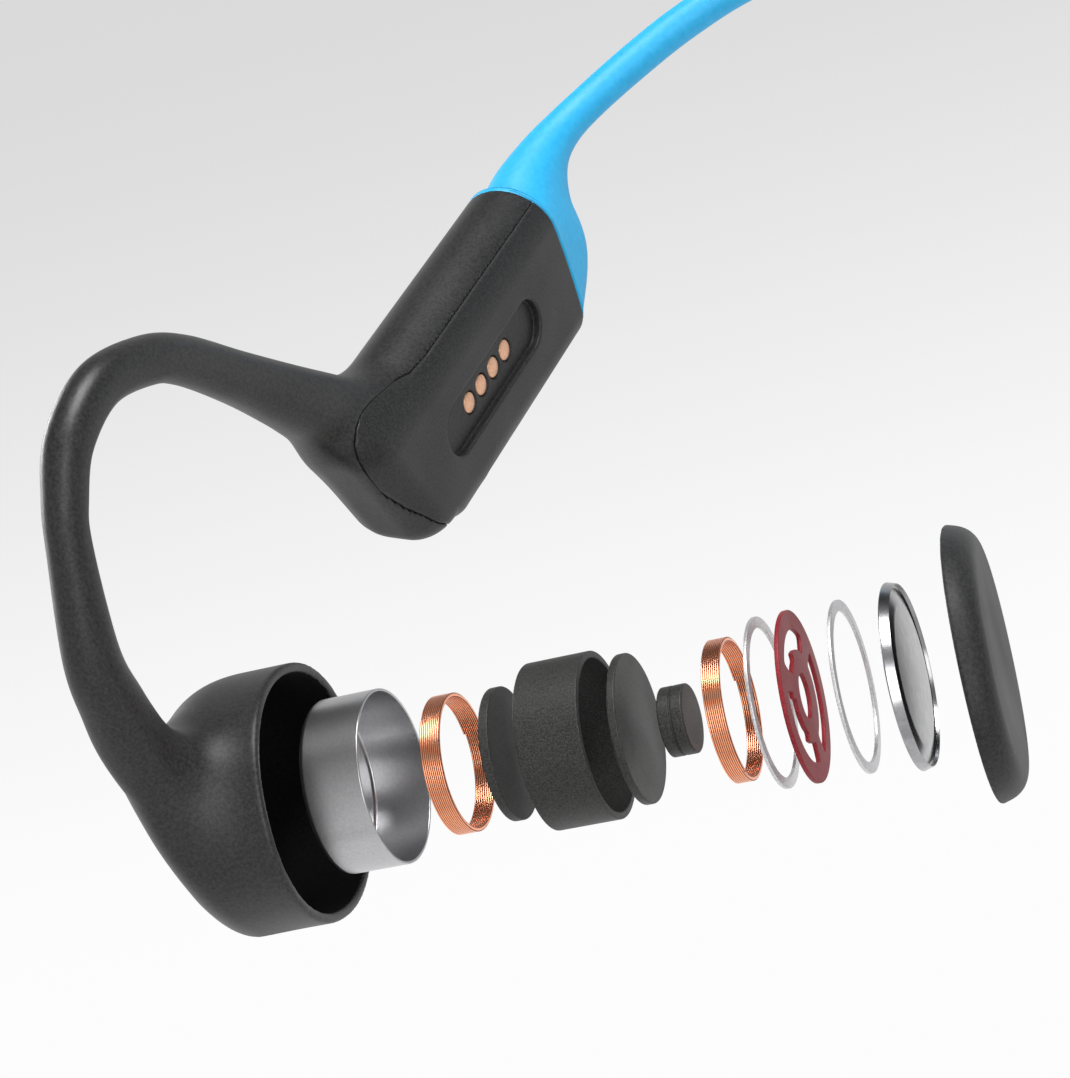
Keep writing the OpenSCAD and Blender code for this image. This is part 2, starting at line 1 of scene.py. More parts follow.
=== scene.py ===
import json
import math

import bpy
import numpy as np
from mathutils import Matrix, Vector


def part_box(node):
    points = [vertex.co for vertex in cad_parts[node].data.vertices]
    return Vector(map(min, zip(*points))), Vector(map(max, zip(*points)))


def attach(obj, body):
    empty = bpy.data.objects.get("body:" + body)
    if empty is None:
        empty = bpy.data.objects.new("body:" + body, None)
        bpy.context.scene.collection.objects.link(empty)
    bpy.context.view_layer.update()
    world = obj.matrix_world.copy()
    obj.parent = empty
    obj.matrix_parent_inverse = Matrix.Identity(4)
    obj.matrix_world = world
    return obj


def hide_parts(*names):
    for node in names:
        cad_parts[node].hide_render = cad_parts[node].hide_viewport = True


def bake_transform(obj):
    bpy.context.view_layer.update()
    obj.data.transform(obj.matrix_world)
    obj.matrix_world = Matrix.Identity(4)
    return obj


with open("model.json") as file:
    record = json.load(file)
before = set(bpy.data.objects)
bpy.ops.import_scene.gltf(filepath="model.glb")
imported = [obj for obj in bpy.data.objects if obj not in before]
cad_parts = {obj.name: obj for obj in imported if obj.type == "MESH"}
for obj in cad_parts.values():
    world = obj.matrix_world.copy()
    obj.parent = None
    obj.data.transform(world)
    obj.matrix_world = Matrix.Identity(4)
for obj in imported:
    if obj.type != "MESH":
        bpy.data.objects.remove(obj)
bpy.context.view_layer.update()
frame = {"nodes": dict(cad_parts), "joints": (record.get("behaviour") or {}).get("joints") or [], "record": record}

# ---------------------------------------------------------------- sizes, in millimetres
# Each side is modelled in its own side frame: origin at the driver rim's centre, X towards the
# middle of the head, Y to the back, Z up. The left side is the mirror image of the right one.
MM = 0.001
POD_SLOPE = math.radians(17.5)
POD_T = 9.2
POD_TOP = 18.3
POD_BOTTOM = 1.35
POD_BACK = 60.0
POD_WALL = 1.2
COVER_T = 1.9
EDGE_IN = 3.0
EDGE_OUT = 4.4
CORNER_A = 31.15
CORNER_R = 5.4
FRONT_ANGLE = math.radians(200.5)
RECESS_L = 20.2
RECESS_W = 4.8
RECESS_D = 0.8
RECESS_A = 43.2
RECESS_B = 9.3
CONTACT_A = 43.2
CONTACT_PITCH = 2.65
CONTACT_R = 0.95
BUTTON_A = (38.0, 48.0)
BUTTON_X = -4.6
BUTTON_L = 7.0
BUTTON_W = 2.4
DRIVER_LEAN = math.radians(16.3)
OVAL_LEAN = math.radians(38.1)
RIM_TILT = math.radians(4.5)
CUP_SHORT = 10.4
CUP_LONG = 12.5
CUP_DEPTH = 10.0
CUP_WALL = 0.8
CUP_FLOOR = 1.0
PAD_T = 2.3
BAND_R = 1.75
HOOK_X = -5.5
RIM_HALF = abs(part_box("right_pod_cover")[1].x) / MM

recess = next(m for m in frame["record"]["mounts"] if m["name"] == "charging_recess")
flex = next(j for j in frame["joints"] if j["name"] == "neckband_flex")
SIDE_Y = recess["pos_m"][1] / MM - (RECESS_A * math.cos(POD_SLOPE) + RECESS_B * math.sin(POD_SLOPE))
SIDE_Z = recess["pos_m"][2] / MM - (RECESS_B * math.cos(POD_SLOPE) - RECESS_A * math.sin(POD_SLOPE))
SIDE = np.array([-RIM_HALF, SIDE_Y, SIDE_Z])
BAND_REACH = flex["pos_m"][1] / MM - SIDE_Y
BAND_Z = flex["pos_m"][2] / MM - SIDE_Z

# Hook centre line: [backward, upward, half-width]
HOOK_KNOTS = np.array([
    [38.0, -6.0, 3.6], [33.5, 2.0, 3.7], [30.0, 9.4, 3.35], [27.2, 15.9, 2.65], [24.35, 22.25, 2.15],
    [21.25, 28.6, 1.95], [18.4, 32.3, 1.9], [13.6, 35.75, 1.85], [8.4, 36.1, 1.8], [4.75, 34.1, 1.68],
    [2.15, 31.6, 1.65], [-2.85, 24.9, 2.08], [-4.55, 20.4, 2.4], [-5.65, 16.3, 2.72], [-6.6, 11.8, 3.0],
    [-7.0, 6.5, 3.4], [-6.6, 1.0, 3.4],
])
# Neckband centre line: [inward, backward, upward, half-thickness, half-height, share of round section]
BAND_KNOTS = np.array([
    [-4.6, 60.8, -8.75, 4.6, 8.35, 0.0],
    [-4.7, 64.1, -7.75, 4.1, 6.9, 0.25],
    [-4.7, 67.4, -6.35, 3.2, 4.6, 0.6],
    [-4.2, 70.8, -5.5, 2.35, 2.8, 0.9],
    [-3.3, 73.9, -5.4, 1.9, 2.0, 1.0],
    [-1.6, 77.3, BAND_Z, BAND_R, BAND_R, 1.0],
    [1.9, 82.4, BAND_Z, BAND_R, BAND_R, 1.0],
    [6.0, 87.4, BAND_Z, BAND_R, BAND_R, 1.0],
    [11.5, 92.2, BAND_Z, BAND_R, BAND_R, 1.0],
    [21.5, 97.8, BAND_Z, BAND_R, BAND_R, 1.0],
    [37.0, 101.5, BAND_Z, BAND_R, BAND_R, 1.0],
    [RIM_HALF, BAND_REACH, BAND_Z, BAND_R, BAND_R, 1.0],
])


# ---------------------------------------------------------------- curves
def spline(knots, steps):
    """Points of a Catmull-Rom curve through the knots, steps of them to each span."""
    first = 2 * knots[0] - knots[1]
    last = 2 * knots[-1] - knots[-2]
    k = np.vstack([first, knots, last])
    out = []
    for i in range(1, len(k) - 2):
        for s in range(steps):
            t = s / steps
            out.append(0.5 * (2 * k[i] + (k[i + 1] - k[i - 1]) * t
                              + (2 * k[i - 1] - 5 * k[i] + 4 * k[i + 1] - k[i + 2]) * t * t
                              + (3 * k[i] - k[i - 1] - 3 * k[i + 1] + k[i + 2]) * t * t * t))
    out.append(k[-2])
    return np.array(out)


def unit(v):
    return v / np.maximum(np.linalg.norm(v, axis=-1, keepdims=True), 1e-12)


# ---------------------------------------------------------------- signed distances, in the side frame
def smooth_min(a, b, k):
    h = np.clip(0.5 + 0.5 * (b - a) / k, 0, 1)
    return b + (a - b) * h - k * h * (1 - h)


def smooth_max(a, b, k):
    return -smooth_min(-a, -b, k)


def pod_local(p):
    """(across, along, square) coordinates in the pod frame."""
    c, s = math.cos(POD_SLOPE), math.sin(POD_SLOPE)
    return p[:, 0], p[:, 1] * c - p[:, 2] * s, p[:, 1] * s + p[:, 2] * c


def driver_local(p):
    """(along the driver axis, short oval axis, long oval axis) coordinates."""
    c, s = math.cos(DRIVER_LEAN), math.sin(DRIVER_LEAN)
    t = p[:, 0] * c + p[:, 1] * s
    y = -p[:, 0] * s + p[:, 1] * c
    co, so = math.cos(OVAL_LEAN), math.sin(OVAL_LEAN)
    return t, y * co + p[:, 2] * so, -y * so + p[:, 2] * co


def box2(u, v, cu, cv, hu, hv, r):
    """Rounded rectangle."""
    du = np.abs(u - cu) - (hu - r)
    dv = np.abs(v - cv) - (hv - r)
    return np.hypot(np.maximum(du, 0), np.maximum(dv, 0)) + np.minimum(np.maximum(du, dv), 0) - r


def pod_section(x, b, inset=0.0):
    """Section across the pod: fully round on top, rounded below, more on the outer side."""
    half = POD_T / 2
    du, dv = x + half, b - (POD_TOP + POD_BOTTOM) / 2
    r = np.where(dv > 0, half - 0.01, np.where(du > 0, EDGE_IN, EDGE_OUT))
    qu = np.abs(du) - (half - r)
    qv = np.abs(dv) - ((POD_TOP - POD_BOTTOM) / 2 - r)
    return np.hypot(np.maximum(qu, 0), np.maximum(qv, 0)) + np.minimum(np.maximum(qu, qv), 0) - r + inset


def seam_a(b):
    """Where the silicone neckband meets the pod, along the pod."""
    return POD_BACK + 0.85 - 0.5 * ((b - 7.5) / 8) ** 2


def pod_front(a, b):
    """Front end of the pod from the side: it leans forward towards the top, above a round lower corner."""
    r = CORNER_R
    da, db = a - CORNER_A, b - POD_BOTTOM - r - 0.1
    na, nb = math.cos(FRONT_ANGLE), math.sin(FRONT_ANGLE)
    front = da * na + db * nb - r
    low = -db - r - np.maximum(da, 0)
    corner = (na * db - nb * da > 0) & (da < 0)
    return np.where(corner, np.hypot(da, db) - r, np.where(da < 0, front, np.maximum(front, low)))


def pod(p, inset=0.0):
    x, a, b = pod_local(p)
    rho = EDGE_OUT + (EDGE_IN - EDGE_OUT) * np.clip((x + 6.5) / 3.5, 0, 1)
    rho = np.maximum(rho - inset, 0.4)
    u = pod_section(x, b, inset) + rho
    v = pod_front(a, b) + inset + rho
    d = np.minimum(np.maximum(u, v), 0) + np.hypot(np.maximum(u, 0), np.maximum(v, 0)) - rho
    return np.maximum(d, a - seam_a(b) - 4)


def oval(u, v, short, long, power=2.15):
    """Superellipse, close to a true distance near its edge."""
    q = (np.abs(u / short) ** power + np.abs(v / long) ** power) ** (1 / power)
    slope = np.sqrt((u / short ** 2) ** 2 + (v / long ** 2) ** 2) / np.maximum(np.hypot(u / short, v / long), 1e-6)
    return (q - 1) / np.maximum(slope, 1 / long)


def cup_outer(p):
    t, u, v = driver_local(p)
    side = oval(u, v, CUP_SHORT, CUP_LONG)
    back = -CUP_DEPTH - t
    return smooth_max(side, back, 5.4)


def cup_shade_zone(p):
    """Positive away from the cup's inner surface, below the rim's rounded edge; faces close to it get painted shade.
    """
    d = cup_inner(p)
    t, u, v = driver_local(p)
    return np.maximum(np.abs(d) - 0.05, t * math.cos(RIM_TILT) - v * math.sin(RIM_TILT) + 0.35)


def rim_plane(p):
    """Positive in front of the cup's rim plane, over the cup only."""
    t, u, v = driver_local(p)
    return np.minimum(t * math.cos(RIM_TILT) - v * math.sin(RIM_TILT), 2.5 - oval(u, v, CUP_SHORT, CUP_LONG))


def cup_inner(p):
    t, u, v = driver_local(p)
    side = oval(u, v, CUP_SHORT - CUP_WALL, CUP_LONG - CUP_WALL)
    return smooth_max(side, -CUP_DEPTH + CUP_FLOOR - t, 4.4)


HOOK = spline(HOOK_KNOTS, 10)
HOOK_LINE = np.column_stack([np.full(len(HOOK), HOOK_X), HOOK[:, 0], HOOK[:, 1]])
HOOK_TANGENT = unit(np.gradient(HOOK_LINE, axis=0))
HOOK_WIDE = HOOK[:, 2]
HOOK_LENGTH = np.append(0, np.cumsum(np.linalg.norm(np.diff(HOOK_LINE, axis=0), axis=1)))
HOOK_SPREAD = np.gradient(HOOK_WIDE, HOOK_LENGTH)


def hook(p):
    """Ear hook: a slightly squared round section. Far from every point asked about, it only has to be far."""
    centre = (p.min(0) + p.max(0)) / 2
    reach = np.linalg.norm(p.max(0) - p.min(0)) / 2
    away = np.linalg.norm(HOOK_LINE - centre, axis=1)
    if away.min() - reach > 12:
        return np.full(len(p), 12.0)
    near = np.flatnonzero(away <= away.min() + 2 * reach + 0.1)
    line = HOOK_LINE[near]
    d2 = (line ** 2).sum(1)[None, :] - 2 * (p - centre) @ line.T - 2 * (line @ centre)[None, :]
    i = near[np.argmin(d2, axis=1)]
    rel = p - HOOK_LINE[i]
    t = HOOK_TANGENT[i]
    along = (rel * t).sum(1)
    across = rel[:, 0]
    square = rel[:, 1] * t[:, 2] - rel[:, 2] * t[:, 1]
    r = np.maximum(HOOK_WIDE[i] + HOOK_SPREAD[i] * along, 0.5)
    q = (np.abs(across / (r * 0.97)) ** 2.3 + np.abs(square / r) ** 2.3) ** (1 / 2.3)
    d = (q - 1) * r
    ends = (i == 0) | (i == len(HOOK_LINE) - 1)
    return np.where(ends, np.maximum(d, np.abs(along)), d)


# Facets of the slanting flank that runs from the hook down to the cup's lower edge: [normal, distance]
FLANK = (((-0.683, -0.692, 0.233), 13.75), ((-0.633, -0.757, 0.162), 13.1), ((-0.54, -0.84, 0.055), 12.8),
         ((-0.348, -0.93, -0.122), 12.9))


def flank(p):
    d = None
    for n, h in FLANK:
        q = p @ np.array(n) - h
        d = q if d is None else smooth_max(d, q, 0.6)
    return d - 0.25 * np.maximum(p[:, 2] - 14, 0)


def body_solid(p):
    d = smooth_min(hook(p), pod(p), 2.5)
    return smooth_max(smooth_min(d, cup_outer(p), 5.0), flank(p), 1.0)


def stadium(a, b, ca, cb, length, width):
    return box2(a, b, ca, cb, length / 2, width / 2, width / 2 - 0.001)


def polygon_sdf(u, v, pts):
    best = np.full(len(u), 1e9)
    inside = np.zeros(len(u), bool)
    for i in range(len(pts)):
        (ax, ay), (bx, by) = pts[i - 1], pts[i]
        ex, ey = bx - ax, by - ay
        t = np.clip(((u - ax) * ex + (v - ay) * ey) / (ex * ex + ey * ey), 0, 1)
        best = np.minimum(best, (u - ax - ex * t) ** 2 + (v - ay - ey * t) ** 2)
        if by != ay:
            inside ^= ((ay <= v) != (by <= v)) & (u < ax + (v - ay) / (by - ay) * ex)
    return np.where(inside, -1, 1) * np.sqrt(best)


# Outline of the pod's inner cover: [along, square]
COVER_EDGE = [(70, 16.7), (36.0, 16.7), (33.2, 16.85), (30.4, 17.7), (28.4, 18.55), (27.2, 18.8), (25.7, 18.6), (24.0, 17.9),
              (22.9, 16.9), (22.7, 15.6), (23.5, 12.2), (25.6, 8.3), (28.0, 4.8), (30.4, 2.6), (33.0, 1.9), (70, 1.9)]


def cover_zone(p):
    """Inside the parting line of the pod's inner cover."""
    x, a, b = pod_local(p)
    return np.maximum(polygon_sdf(a, b, COVER_EDGE), -COVER_T - x)


def pod_cavity(p):
    x, a, b = pod_local(p)
    d = np.maximum(pod(p, POD_WALL + 0.1), x + 1.6)
    return np.maximum(np.maximum(d, 28.5 - a), a - seam_a(b) + 3.2)


def recess_cut(p):
    x, a, b = pod_local(p)
    return np.maximum(stadium(a, b, RECESS_A, RECESS_B, RECESS_L, RECESS_W), -RECESS_D - x)


def contact_cut(p):
    x, a, b = pod_local(p)
    d = np.full(len(p), 50.0)
    for i in range(4):
        d = np.minimum(d, np.hypot(a - CONTACT_A - (i - 1.5) * CONTACT_PITCH, b - RECESS_B) - CONTACT_R - 0.1)
    return d


def button_cut(p, grow):
    x, a, b = pod_local(p)
    d = np.full(len(p), 50.0)
    for ca in BUTTON_A:
        plan = stadium(a, x, ca, BUTTON_X, BUTTON_L + 2 * grow, BUTTON_W + 2 * grow)
        d = np.minimum(d, np.maximum(plan, b - POD_BOTTOM - 2.0))
    return d


def trimmed(p):
    """The one skin the hook, pod and cup share, hollow and open at the rim."""
    d = smooth_max(body_solid(p), rim_plane(p), 0.35)
    d = smooth_max(d, -cup_inner(p), 0.3)
    x, a, b = pod_local(p)
    d = smooth_max(d, a - seam_a(b), 0.3)
    return np.maximum(d, -pod_cavity(p))


def shell_sdf(right):
    def shell(p, d):
        d = smooth_max(d, 0.01 - cover_zone(p), 0.12)
        if right:
            return smooth_max(d, -button_cut(p, 0.16), 0.2)
        t, u, v = driver_local(p)
        return smooth_max(d, -np.maximum(np.hypot(u, v) - 3.76, t + CUP_DEPTH - 2.0), 0.3)
    return shell


def gasket_sdf(p):
    """Square-cut ring between cover and shell, half a millimetre inside the pod's outline."""
    x, a, b = pod_local(p)
    outline = np.maximum(pod(p), a - seam_a(b) + 0.3)
    ring = np.abs(outline + 0.8) - 0.25
    return smooth_max(ring, np.abs(x + COVER_T + 0.3) - 0.25, 0.12)


def cover_sdf(right):
    def cover(p, d):
        d = smooth_max(d, cover_zone(p) + 0.01, 0.12)
        if right:
            d = smooth_max(d, -recess_cut(p), 0.22)
            d = smooth_max(d, -contact_cut(p), 0.1)
        return d
    return cover


# ---------------------------------------------------------------- meshes from distances
def blocks(lo, hi, step, size):
    n = np.ceil((hi - lo) / (step * size)).astype(int)
    return n, n * size + 1


def sample(sdf, lo, hi, step, size=16, base=None, kept=None):
    """The distance field on a grid, worked out only near the surface.

    With a base field, sdf also gets the base's values, which are kept for the next grid of the same layout."""
    n, shape = blocks(lo, hi, step, size)
    field = np.empty(shape, np.float32)
    idx = np.stack(np.meshgrid(*[np.arange(k) for k in n], indexing="ij"), -1).reshape(-1, 3)
    centres = lo + (idx + 0.5) * size * step
    reach = size * step * 0.87 * 1.5 + 1.0
    offsets = np.stack(np.meshgrid(*[np.arange(size + 1)] * 3, indexing="ij"), -1).reshape(-1, 3)
    for cell, centre in zip(idx, centres):
        i, j, k = cell * size
        part = (slice(i, i + size + 1), slice(j, j + size + 1), slice(k, k + size + 1))
        key = tuple(cell)
        if base is None:
            d = sdf(centre[None, :])[0]
        else:
            if key not in kept:
                kept[key] = base(centre[None, :])[0]
                if abs(kept[key]) <= reach:
                    kept[key] = base(lo + (offsets + (i, j, k)) * step).astype(np.float32)
            d = kept[key] if np.isscalar(kept[key]) or kept[key].ndim == 0 else 0
        if abs(d) > reach:
            field[part] = d
            continue
        pts = lo + (offsets + (i, j, k)) * step
        values = sdf(pts) if base is None else sdf(pts, kept[key])
        field[part] = values.reshape(size + 1, size + 1, size + 1)
    return field


def surface(field, lo, step):
    """Surface-net vertices and quads of a field's zero level."""
    inside = field < 0
    corners = [(i, j, k) for i in (0, 1) for j in (0, 1) for k in (0, 1)]
    nx, ny, nz = (s - 1 for s in field.shape)
    count = np.zeros((nx, ny, nz), np.int8)
    for i, j, k in corners:
        count += inside[i:nx + i, j:ny + j, k:nz + k]
    cells = np.argwhere((count > 0) & (count < 8))
    total = np.zeros((len(cells), 3))
    hits = np.zeros(len(cells))
    for axis in range(3):
        step_to = np.eye(3, dtype=int)[axis]
        for c in corners:
            if c[axis]:
                continue
            a = cells + c
            b = a + step_to
            fa = field[a[:, 0], a[:, 1], a[:, 2]]
            fb = field[b[:, 0], b[:, 1], b[:, 2]]
            cross = (fa < 0) != (fb < 0)
            t = np.where(cross, fa / np.where(cross, fa - fb, 1), 0)
            total += np.where(cross[:, None], np.array(c) + t[:, None] * step_to, 0)
            hits += cross
    verts = lo + (cells + total / hits[:, None]) * step
    number = np.full((nx, ny, nz), -1, np.int64)
    number[cells[:, 0], cells[:, 1], cells[:, 2]] = np.arange(len(cells))
    quads = []
    for axis in range(3):
        u, v = [q for q in range(3) if q != axis]
        far = [slice(None)] * 3
        far[axis] = slice(1, None)
        near = [slice(None)] * 3
        near[axis] = slice(0, -1)
        edge = inside[tuple(near)] != inside[tuple(far)]
        at = np.argwhere(edge)
        at = at[(at[:, u] > 0) & (at[:, v] > 0) & (at[:, u] < field.shape[u] - 1) & (at[:, v] < field.shape[v] - 1)]
        ring = []
        for du, dv in ((1, 1), (0, 1), (0, 0), (1, 0)):
            c = at.copy()
            c[:, u] -= du
            c[:, v] -= dv
            ring.append(number[c[:, 0], c[:, 1], c[:, 2]])
        q = np.stack(ring, 1)
        flip = inside[at[:, 0], at[:, 1], at[:, 2]]
        if axis == 1:
            flip = ~flip
        q[~flip] = q[~flip][:, ::-1]
        quads.append(q)
    return verts, np.vstack(quads)


def settle(sdf, verts, rounds=2, h=0.02):
    """Moves vertices onto the exact surface along its slope."""
    for _ in range(rounds):
        d = sdf(verts)
        g = np.stack([sdf(verts + h * e) - sdf(verts - h * e) for e in np.eye(3)], 1) / (2 * h)
        n = np.maximum((g ** 2).sum(1), 0.25)
        verts = verts - np.clip(d / n, -0.15, 0.15)[:, None] * g
    return verts


def side_points(verts, right):
    """Side-frame millimetres to row-frame metres."""
    p = verts + SIDE
    if not right:
        p = p * (-1, 1, 1)
    return p * MM


def new_object(name, verts, faces, material=None, smooth=True):
    mesh = bpy.data.meshes.new(name)
    if isinstance(faces, np.ndarray):
        mesh.vertices.add(len(verts))
        mesh.vertices.foreach_set("co", np.ascontiguousarray(verts, np.float32).ravel())
        mesh.loops.add(faces.size)
        mesh.loops.foreach_set("vertex_index", np.ascontiguousarray(faces, np.int32).ravel())
        mesh.polygons.add(len(faces))
        mesh.polygons.foreach_set("loop_start", np.arange(0, faces.size, 4, dtype=np.int32))
        mesh.update(calc_edges=True)
    else:
        mesh.from_pydata([tuple(v) for v in verts], [], [tuple(int(i) for i in f) for f in faces])
    mesh.validate()
    mesh.update()
    if smooth:
        mesh.shade_smooth()
    obj = bpy.data.objects.new(name, mesh)
    bpy.context.scene.collection.objects.link(obj)
    if material is not None:
        mesh.materials.append(material)
    return obj


def implicit_piece(name, sdf, lo, hi, step, right, material, base=None, kept=None, inner=None):
    """Mesh of a solid given by its distance field; faces on the inner field's surface get the darker, duller hollow
    material, which is painted shade.
    """
    lo, hi = np.array(lo, float), np.array(hi, float)
    field = sample(sdf, lo, hi, step, 16, base, kept)
    verts, quads = surface(field, lo, step)
    if base is None:
        verts = settle(sdf, verts)
    if not right:
        quads = quads[:, ::-1]
    obj = new_object(name, side_points(verts, right), quads, material)
    if inner is not None:
        centre = np.empty(len(obj.data.polygons) * 3, np.float32)
        obj.data.polygons.foreach_get("center", centre)
        at = centre.reshape(-1, 3).astype(float) / MM * (1 if right else -1, 1, 1) - SIDE
        # faces near the cup's inner surface get the darker hollow material: painted shade inside the cup
        obj.data.materials.append(MATS["hollow"])
        obj.data.polygons.foreach_set("material_index", (inner(at) < 0.06).astype(np.int32))
    return obj


# ---------------------------------------------------------------- materials
def shader(name):
    m = bpy.data.materials.new(name)
    m.use_nodes = True
    return m, m.node_tree.nodes, m.node_tree.links, m.node_tree.nodes["Principled BSDF"]


def noise(nodes, links, scale, detail=3.0, rough=0.6, coords=None):
    t = nodes.new("ShaderNodeTexNoise")
    t.inputs["Scale"].default_value = scale
    t.inputs["Detail"].default_value = detail
    t.inputs["Roughness"].default_value = rough
    if coords is None:
        coords = nodes.new("ShaderNodeTexCoord").outputs["Object"]
    links.new(coords, t.inputs["Vector"])
    return t.outputs["Fac"]


def ramp(nodes, links, fac, lo, hi, low=0.35, high=0.65):
    r = nodes.new("ShaderNodeValToRGB")
    r.color_ramp.elements[0].position = low
    r.color_ramp.elements[1].position = high
    r.color_ramp.elements[0].color = (*lo, 1)
    r.color_ramp.elements[1].color = (*hi, 1)
    links.new(fac, r.inputs["Fac"])
    return r.outputs["Color"]


def value_map(nodes, links, fac, lo, hi):
    m = nodes.new("ShaderNodeMapRange")
    m.inputs["From Min"].default_value = 0.3
    m.inputs["From Max"].default_value = 0.7
    m.inputs["To Min"].default_value = lo
    m.inputs["To Max"].default_value = hi
    links.new(fac, m.inputs["Value"])
    return m.outputs["Result"]


def bump(nodes, links, bsdf, height, strength, distance, chain=None):
    b = nodes.new("ShaderNodeBump")
    b.inputs["Strength"].default_value = strength
    b.inputs["Distance"].default_value = distance
    links.new(height, b.inputs["Height"])
    if chain is not None:
        links.new(chain, b.inputs["Normal"])
    links.new(b.outputs["Normal"], bsdf.inputs["Normal"])
    return b.outputs["Normal"]


def grained(name, dark, light, roughness, grain, depth, metallic=0.0, spread=0.12, specular=0.5):
    """A finish with a fine grain of the given size in metres."""
    m, nodes, links, bsdf = shader(name)
    fine = noise(nodes, links, 1 / grain, 4, 0.7)
    broad = noise(nodes, links, 1 / (grain * 40), 2, 0.5)
    links.new(ramp(nodes, links, fine, dark, light), bsdf.inputs["Base Color"])
    links.new(value_map(nodes, links, broad, roughness - spread / 2, roughness + spread / 2), bsdf.inputs["Roughness"])
    bsdf.inputs["Metallic"].default_value = metallic
    bsdf.inputs["Specular IOR Level"].default_value = specular
    bump(nodes, links, bsdf, fine, 0.5, depth)
    return m


def make_materials():
    mats = {}
    mats["casing"] = grained("casing_black", (0.004, 0.004, 0.004), (0.022, 0.022, 0.022), 0.5, 0.00022, 0.000024, 0.0, 0.12, 0.36)
    mats["skin"] = grained("skin_black", (0.005, 0.005, 0.005), (0.026, 0.026, 0.026), 0.46, 0.00026, 0.000022, 0.0, 0.12, 0.4)
    mats["pad"] = grained("pad_black", (0.006, 0.006, 0.006), (0.024, 0.024, 0.024), 0.55, 0.00026, 0.000022, 0.0, 0.12, 0.32)
    # darker, duller copy of the black skin for the cup's inside: painted shade
    mats["hollow"] = grained("hollow_black", (0.0005, 0.0005, 0.0005), (0.006, 0.006, 0.006), 0.8, 0.0002, 0.00002, 0.0, 0.1, 0.12)
    mats["blue"] = grained("silicone_blue", (0.015, 0.33, 0.62), (0.024, 0.38, 0.68), 0.5, 0.0006, 0.00001, 0.0, 0.12, 0.35)
    mats["magnet"] = grained("magnet_coat", (0.008, 0.008, 0.008), (0.046, 0.046, 0.044), 0.5, 0.00014, 0.00003, 0.1, 0.12, 0.3)
    mats["steel"] = grained("satin_steel", (0.44, 0.44, 0.45), (0.52, 0.52, 0.53), 0.3, 0.00022, 0.000003, 1.0, 0.04)
    mats["spacer"] = grained("spacer_metal", (0.5, 0.5, 0.51), (0.78, 0.78, 0.79), 0.45, 0.00016, 0.000014, 1.0)
    mats["chrome"] = grained("chrome", (0.33, 0.33, 0.34), (0.42, 0.42, 0.43), 0.24, 0.0009, 0.000003, 1.0, 0.06)
    mats["copper"] = grained("copper_wire", (0.98, 0.37, 0.2), (1.0, 0.44, 0.25), 0.26, 0.0004, 0.000001, 1.0, 0.04)
    # dark brown for the grooves between the coil's turns: painted shade
    mats["enamel"] = grained("coil_enamel", (0.06, 0.012, 0.005), (0.1, 0.022, 0.01), 0.5, 0.0004, 0.000001)
    mats["spring"] = grained("spring_red", (0.13, 0.004, 0.01), (0.3, 0.02, 0.028), 0.5, 0.00014, 0.00002, 0.1, 0.12, 0.3)
    mats["contact"] = grained("contact_copper", (0.66, 0.36, 0.22), (0.8, 0.48, 0.32), 0.4, 0.0003, 0.000004, 0.6)
    mats["carrier"] = grained("insulator", (0.02, 0.015, 0.012), (0.035, 0.028, 0.022), 0.6, 0.0003, 0.00001)
    mats["board"] = grained("solder_mask", (0.006, 0.06, 0.03), (0.012, 0.1, 0.05), 0.35, 0.0008, 0.00001)
    mats["foil"] = grained("battery_foil", (0.5, 0.5, 0.52), (0.65, 0.65, 0.66), 0.35, 0.0015, 0.00004, 0.9)
    mats["seal"] = grained("seal_grey", (0.12, 0.12, 0.12), (0.18, 0.18, 0.18), 0.6, 0.0003, 0.00001)
    mats["titanium"] = grained("titanium", (0.36, 0.35, 0.33), (0.5, 0.49, 0.46), 0.35, 0.0003, 0.000004, 1.0)
    mats["sheath"] = grained("cable_sheath", (0.05, 0.05, 0.05), (0.08, 0.08, 0.08), 0.55, 0.0004, 0.00001)
    mats["nickel"] = grained("nickel", (0.55, 0.54, 0.5), (0.65, 0.64, 0.6), 0.2, 0.001, 0.000002, 1.0)
    return mats


MATS = make_materials()


# ---------------------------------------------------------------- lathe work on the driver axis
def rounded(corners, steps=3, hold=0.03):
    """Closed profile from [radius, height, corner round] rows, with edges held crisp by extra rings."""
    pts = [np.array(c[:2], float) for c in corners]
    out = []
    n = len(pts)
    for i in range(n):
        r = corners[i][2] if len(corners[i]) > 2 else 0
        p, a, b = pts[i], pts[i - 1], pts[(i + 1) % n]
        if r == 0:
            out.append(p)
            continue
        ua, ub = (a - p) / np.linalg.norm(a - p), (b - p) / np.linalg.norm(b - p)
        half = math.acos(max(-1, min(1, float(ua @ ub)))) / 2
        back = r / math.tan(half)
        pa, pb = p + ua * back, p + ub * back
        room_a, room_b = np.linalg.norm(a - pa), np.linalg.norm(b - pb)
        if room_a > 3 * hold:
            out.append(pa + ua * hold)
        mid = p + (ua + ub) / np.linalg.norm(ua + ub) * r / math.sin(half)
        for s in range(steps + 1):
            t = s / steps
            q = pa * (1 - t) + pb * t - mid
            out.append(mid + q / np.linalg.norm(q) * r)
        if room_b > 3 * hold:
            out.append(pb + ub * hold)
    return out


